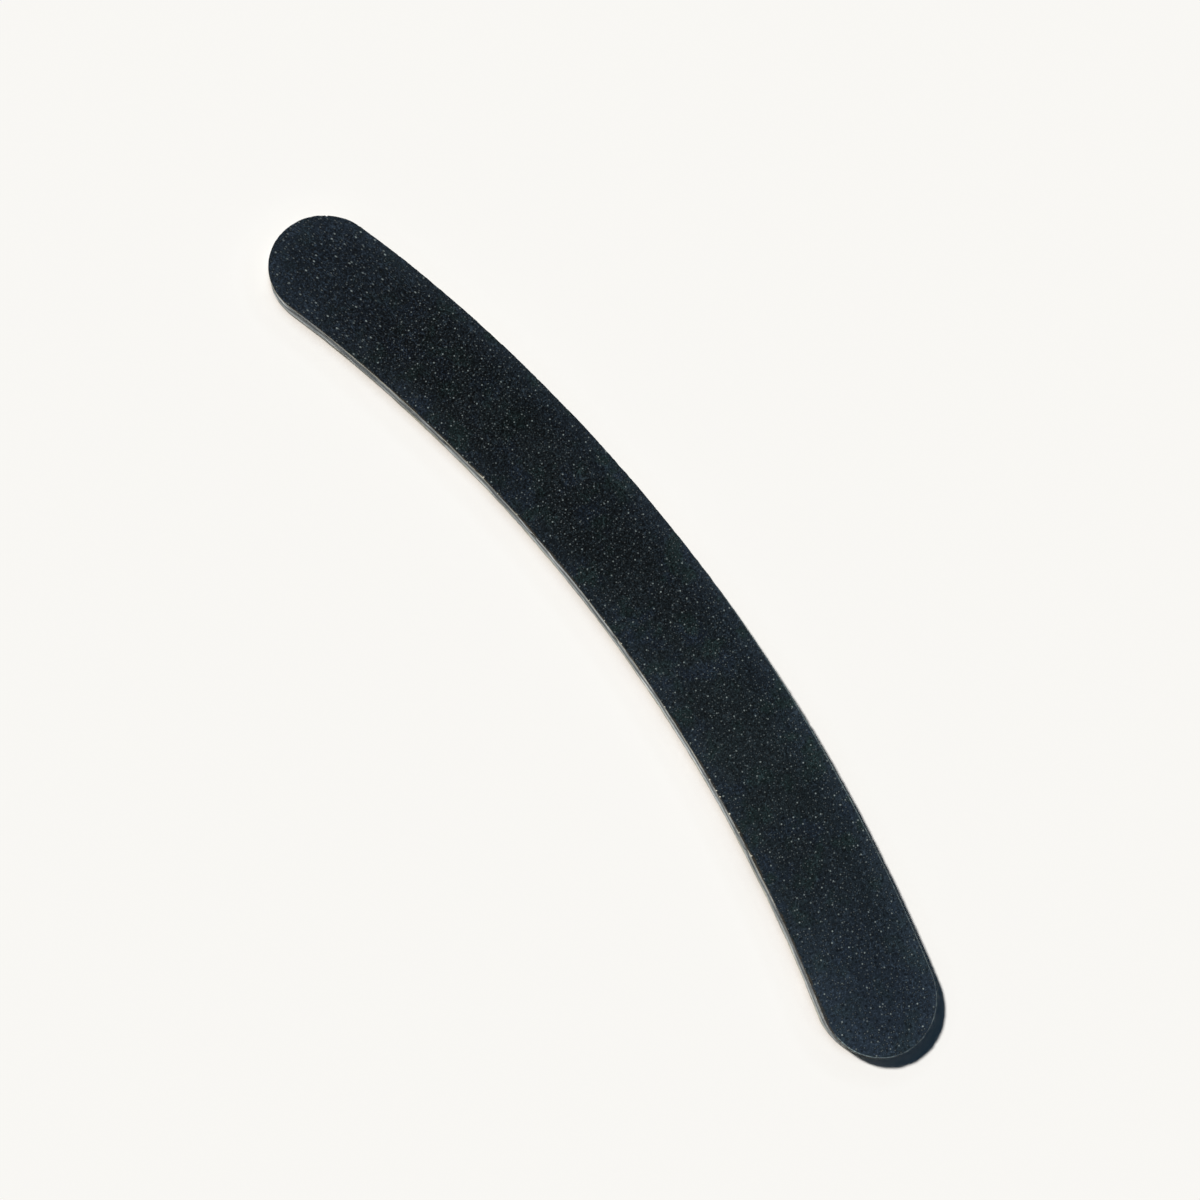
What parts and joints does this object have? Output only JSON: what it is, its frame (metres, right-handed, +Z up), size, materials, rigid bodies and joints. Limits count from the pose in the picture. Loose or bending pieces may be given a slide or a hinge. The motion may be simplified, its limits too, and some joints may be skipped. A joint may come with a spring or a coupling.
{
  "type": "emery board",
  "caption": "Curved emery board: a bent band with round ends, black abrasive paper on both faces over foam pads and a stiff core.",
  "frame": {"origin": "middle of the overall box, on the face that the board lies on", "axes": "+X along the chord, +Y towards the convex edge, +Z up through the layers"},
  "size_m": [0.178, 0.0314, 0.0039],
  "materials": {
    "abrasive_grit": "black silicon carbide grains, dry and finely sparkling",
    "bond_resin": "black cured resin",
    "backing_paper": "brown-black waterproof paper, die-cut edge",
    "adhesive_film": "clear to cream pressure-sensitive film",
    "foam": "pale grey closed-cell foam, matte",
    "core_film": "clear film",
    "core_plastic": "dark grey polystyrene, die-cut edge"
  },
  "bodies": {
    "root": {"bottom_grit_layer": "abrasive_grit", "bottom_bond_coat": "bond_resin", "bottom_backing_paper": "backing_paper", "bottom_adhesive_film": "adhesive_film", "bottom_foam_pad": "foam", "bottom_core_film": "core_film", "core_board": "core_plastic", "top_core_film": "core_film", "top_foam_pad": "foam", "top_adhesive_film": "adhesive_film", "top_backing_paper": "backing_paper", "top_bond_coat": "bond_resin", "top_grit_layer": "abrasive_grit"}
  },
  "joints": []
}
